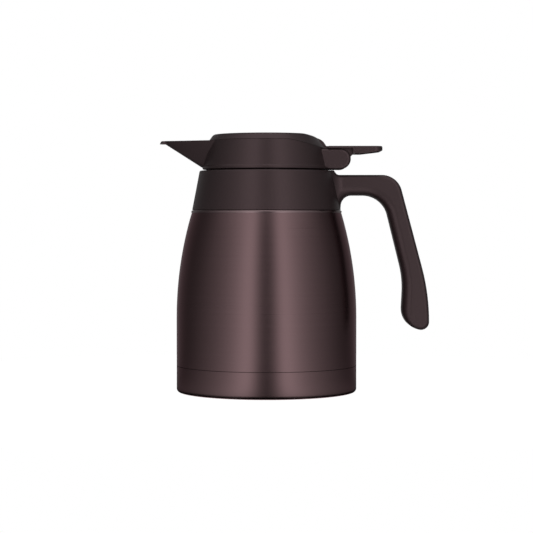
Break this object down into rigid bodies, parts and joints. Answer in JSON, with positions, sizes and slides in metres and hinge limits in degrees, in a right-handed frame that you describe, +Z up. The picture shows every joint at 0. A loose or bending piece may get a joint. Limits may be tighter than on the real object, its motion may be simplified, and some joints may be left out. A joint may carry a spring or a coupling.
{
  "type": "vacuum jug",
  "caption": "Double-walled steel vacuum jug with an open plastic handle, spouted screw-in pouring head and thumb-lever valve.",
  "frame": {"origin": "on the jug's axis, in the plane of the foot ring that it stands on", "axes": "+Z up along the jug's axis, +X from the spout towards the handle, +Y across"},
  "size_m": [0.2239, 0.15, 0.2149],
  "materials": {
    "brown_brushed_steel": "satin",
    "plain_steel": "satin",
    "foil": "gloss",
    "dark_satin_plastic": "satin",
    "silicone": "matte",
    "foam": "matte"
  },
  "bodies": {
    "jug": {"outer_shell": "brown_brushed_steel", "base_cup": "brown_brushed_steel", "vacuum_seal_plug": "plain_steel", "getter": "plain_steel", "inner_vessel": "plain_steel", "radiation_foil": "foil", "neck_ring": "dark_satin_plastic", "neck_seal": "silicone", "collar_and_handle": "dark_satin_plastic", "handle_inner_cover": "dark_satin_plastic"},
    "gasket_ring": {"stopper_gasket": "silicone"},
    "head": {"stopper_cup": "dark_satin_plastic", "pour_tube": "dark_satin_plastic", "stopper_foam": "foam", "pour_head": "dark_satin_plastic", "top_cover": "dark_satin_plastic", "lever_pin": "plain_steel", "stem_guide": "dark_satin_plastic", "valve_spring": "plain_steel"},
    "lever": {"thumb_lever": "dark_satin_plastic"},
    "valve": {"valve_poppet": "dark_satin_plastic", "valve_gasket": "silicone", "valve_stem": "plain_steel", "stem_cap": "dark_satin_plastic"}
  },
  "joints": [
    {"name": "lid_lift", "type": "slide", "parent": "jug", "child": "gasket_ring", "axis": [0, 0, 1], "range_m": [0, 0.09]},
    {"name": "lid_turn", "type": "hinge", "parent": "gasket_ring", "child": "head", "pos_m": [0, 0, 0.185], "axis": [0, 0, 1], "range_deg": [0, 90]},
    {"name": "lever_press", "type": "hinge", "parent": "head", "child": "lever", "pos_m": [0.061, 0, 0.1936], "axis": [0, 1, 0], "range_deg": [0, 10], "stiffness_Nm_per_rad": 0.5, "springref_deg": -5.73},
    {"name": "valve_lift", "type": "slide", "parent": "head", "child": "valve", "axis": [0, 0, 1], "range_m": [0, 0.0106], "deforming": ["valve_spring"]}
  ],
  "couplings": [
    {"joint": "lever_press", "follows": "valve_lift", "rad_per_m": 16.393}
  ]
}
